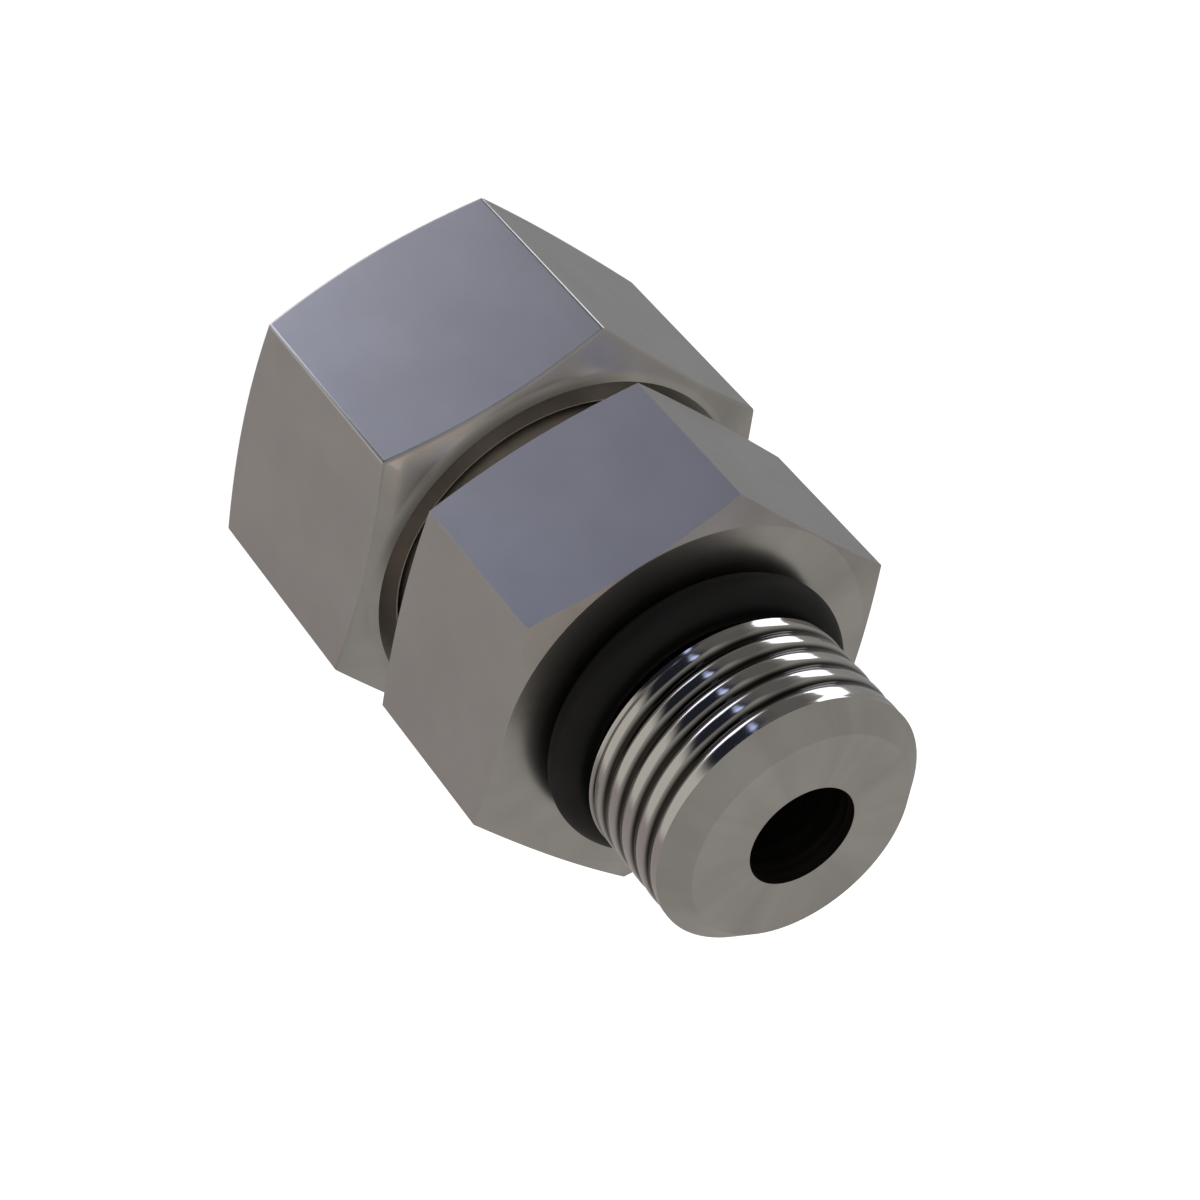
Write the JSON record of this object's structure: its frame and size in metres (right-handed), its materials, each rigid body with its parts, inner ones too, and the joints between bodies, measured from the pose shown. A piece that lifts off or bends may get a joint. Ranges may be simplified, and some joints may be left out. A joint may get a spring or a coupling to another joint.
{
  "type": "hydraulic swivel adapter fitting",
  "caption": "Straight steel tube adapter: hexagonal body with a threaded O-ring stud at one end and a hexagonal swivel nut for a flat face seal at the other.",
  "frame": {"origin": "on the bore's axis, at the flat open end of the swivel nut", "axes": "+Z along the bore from the swivel nut towards the threaded stud, +X through a corner of both hexagons"},
  "size_m": [0.0196, 0.017, 0.0285],
  "materials": {
    "body_steel": "turned, satin grey with a slightly warm tone",
    "nut_steel": "drawn bar, satin grey",
    "black_rubber": "matt black nitrile rubber"
  },
  "bodies": {
    "adapter": {"adapter_body": "body_steel", "stud_o_ring": "black_rubber"},
    "nut": {"swivel_nut": "nut_steel"}
  },
  "joints": [
    {"name": "nut_swivel", "type": "hinge", "parent": "adapter", "child": "nut", "pos_m": [0, 0, 0.0055], "axis": [0, 0, 1], "continuous": true}
  ]
}
